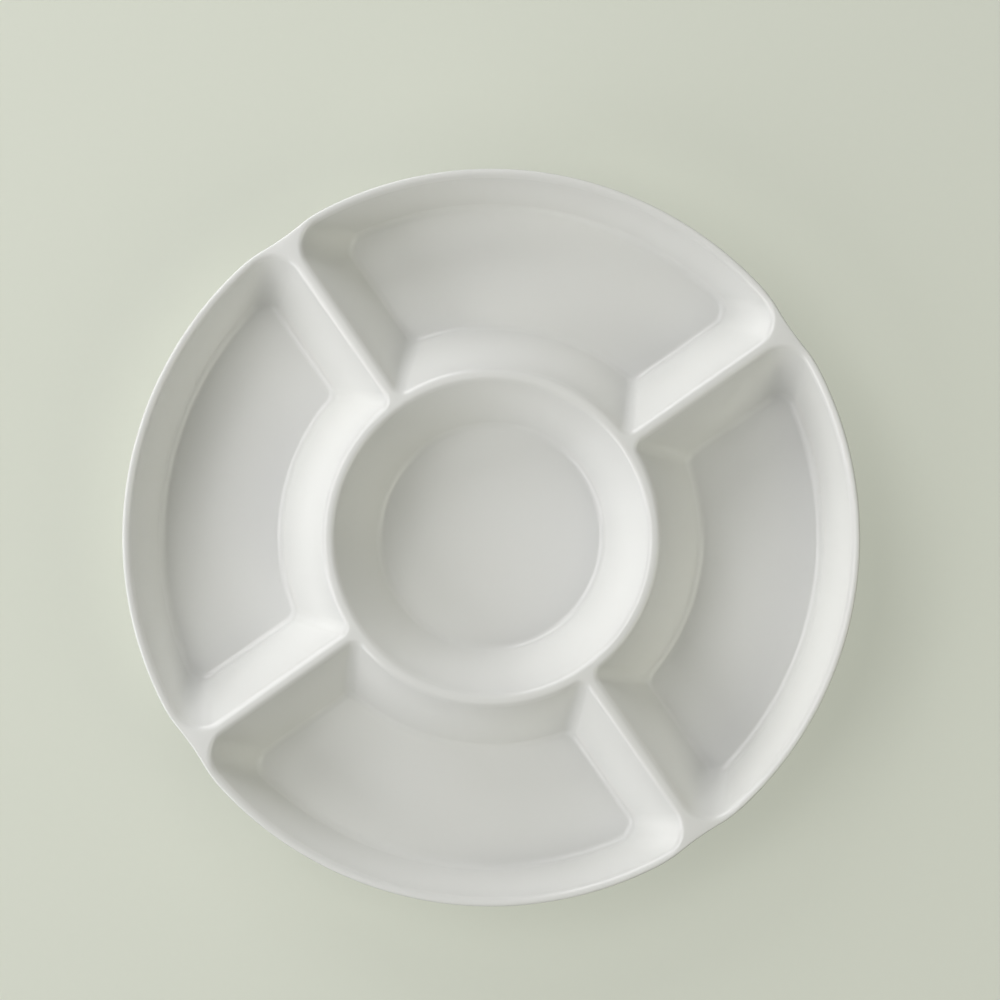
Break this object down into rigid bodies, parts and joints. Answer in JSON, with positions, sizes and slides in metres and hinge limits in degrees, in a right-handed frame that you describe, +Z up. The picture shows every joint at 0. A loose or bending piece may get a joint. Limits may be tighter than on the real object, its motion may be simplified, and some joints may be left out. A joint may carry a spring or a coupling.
{
  "type": "divided serving dish",
  "caption": "Round moulded serving dish: a central dip bowl inside a ring of open compartments, parted by straight rounded dividers, with a softly lobed rim.",
  "frame": {"origin": "middle of the dish on the table plane, at the underside of the foot beads", "axes": "+Z up out of the open top; the pans lie on +X, +Y, -X and -Y and the dividers between them"},
  "size_m": [0.33, 0.33, 0.04],
  "materials": {
    "moulding": "glossy off-white moulding"
  },
  "bodies": {
    "root": {"divided_dish": "moulding"}
  },
  "joints": []
}
